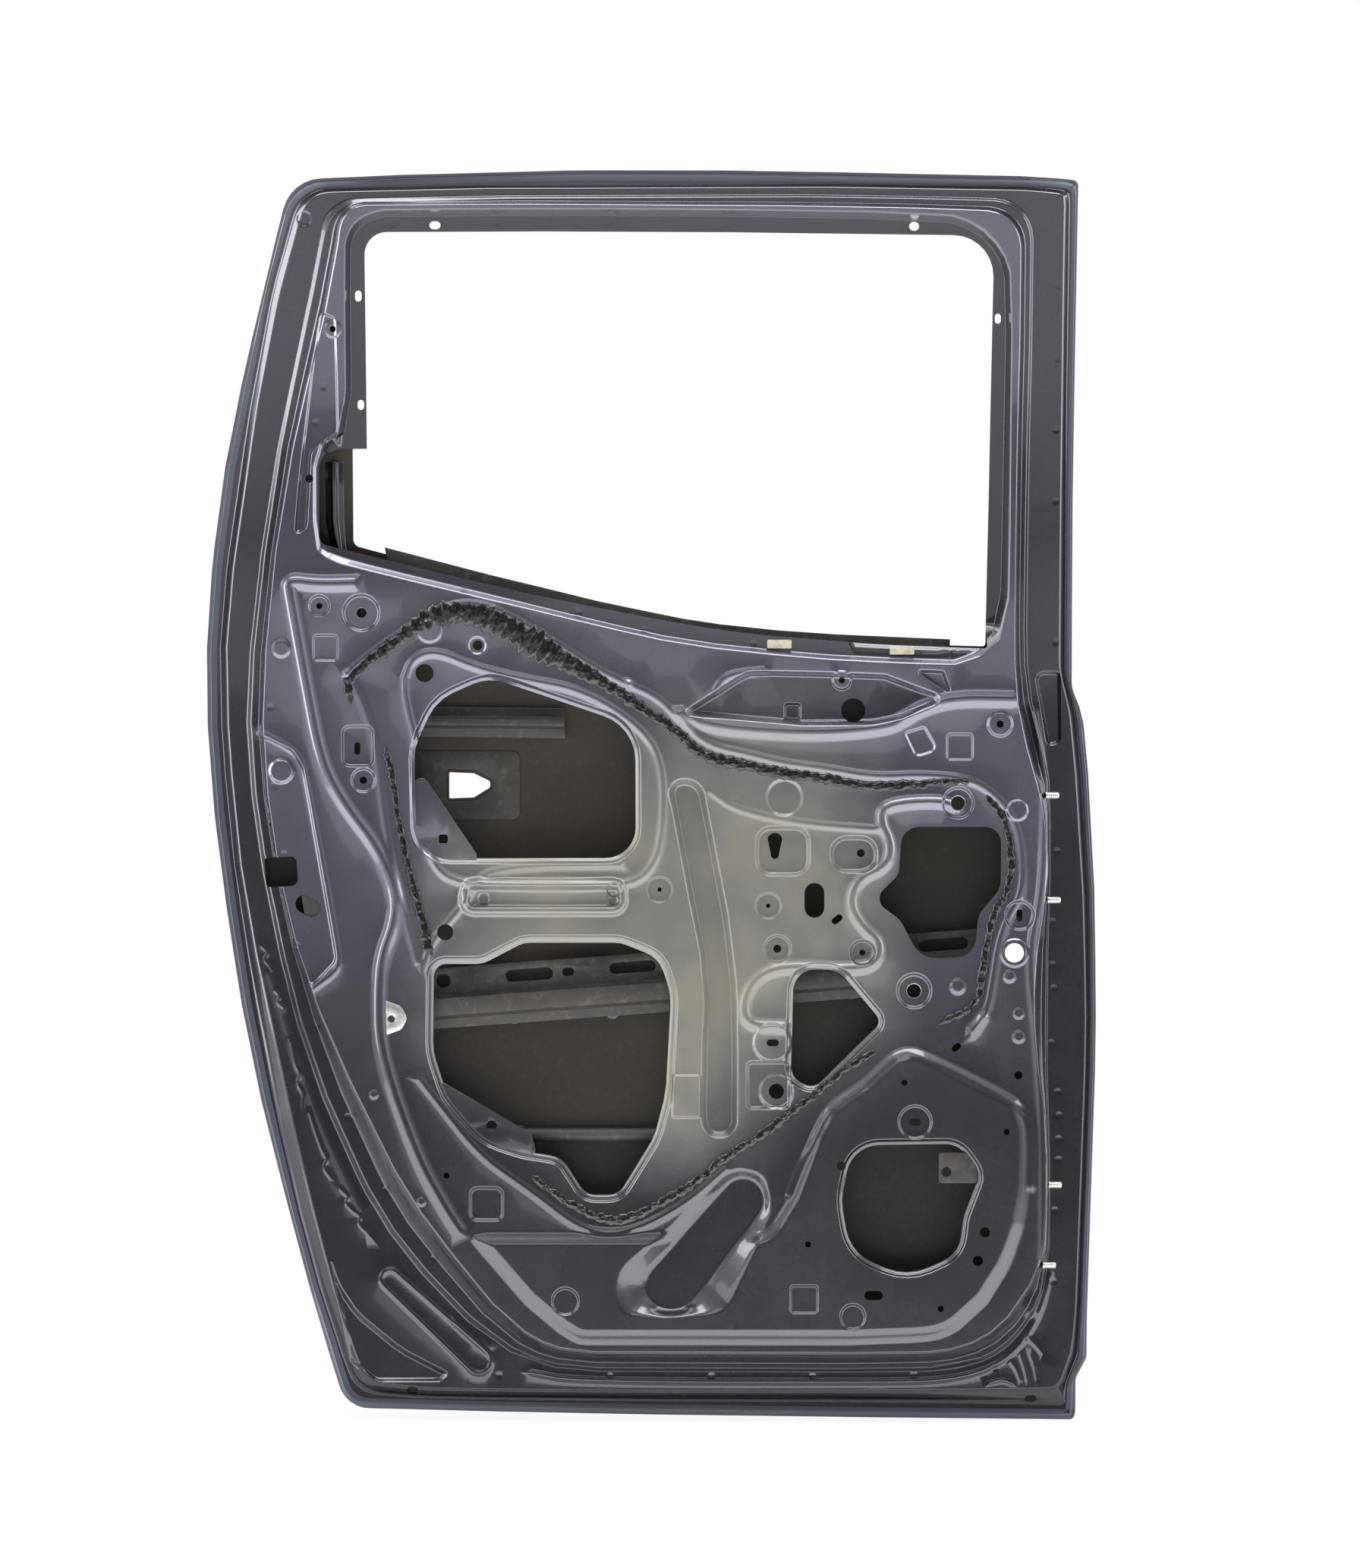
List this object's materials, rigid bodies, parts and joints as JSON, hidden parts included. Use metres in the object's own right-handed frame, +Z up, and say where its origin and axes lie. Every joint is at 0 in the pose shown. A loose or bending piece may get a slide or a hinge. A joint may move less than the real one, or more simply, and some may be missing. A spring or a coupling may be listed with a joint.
{
  "type": "car door shell",
  "caption": "bare rear side door shell of a tall family car: pressed inner panel, outer skin, window frame and side impact beam",
  "frame": {"origin": "on the hinge axis line at the door's front edge, 570 mm above its lowest edge, level with the main inner face's depth", "axes": "+Z up along the door's height, +X forwards past the hinge edge, -Y towards the cabin"},
  "size_m": [0.8842, 0.1156, 1.232],
  "materials": {
    "slate_paint": "gloss over thin primer",
    "thin_primer": "thin satin",
    "bare_steel": "bare",
    "black_butyl": "glossy sealant",
    "beige_tape": "matte",
    "white_plug": "matte"
  },
  "bodies": {
    "root": {"belt_reinforcement_inner": "thin_primer", "belt_reinforcement_outer": "thin_primer", "belt_tape_1": "beige_tape", "belt_tape_2": "beige_tape", "handle_gusset": "thin_primer", "handle_rail": "thin_primer", "handle_reinforcement": "thin_primer", "hinge_reinforcement_lower": "thin_primer", "hinge_reinforcement_upper": "thin_primer", "hinge_stud_1": "bare_steel", "hinge_stud_2": "bare_steel", "hinge_stud_3": "bare_steel", "hinge_stud_4": "bare_steel", "hole_plug": "white_plug", "impact_beam": "thin_primer", "impact_beam_front_bracket": "thin_primer", "impact_beam_rear_bracket": "thin_primer", "inner_panel": "slate_paint", "latch_reinforcement": "thin_primer", "lower_gusset": "thin_primer", "lower_stiffener": "thin_primer", "mastic_pad_1": "black_butyl", "mastic_pad_2": "black_butyl", "mastic_pad_3": "black_butyl", "mastic_pad_4": "black_butyl", "mastic_pad_5": "black_butyl", "mastic_pad_6": "black_butyl", "mastic_pad_7": "black_butyl", "mastic_pad_8": "black_butyl", "outer_panel": "slate_paint", "rear_run_channel": "thin_primer", "sealant_left": "black_butyl", "sealant_lower": "black_butyl", "sealant_middle": "black_butyl", "sealant_right": "black_butyl", "sealant_top": "black_butyl", "speaker_bracket": "thin_primer", "trim_nut_plate": "bare_steel", "weld_nut_1": "bare_steel", "weld_nut_2": "bare_steel", "weld_nut_3": "bare_steel", "weld_nut_4": "bare_steel", "weld_nut_5": "bare_steel", "weld_nut_6": "bare_steel"}
  },
  "joints": []
}
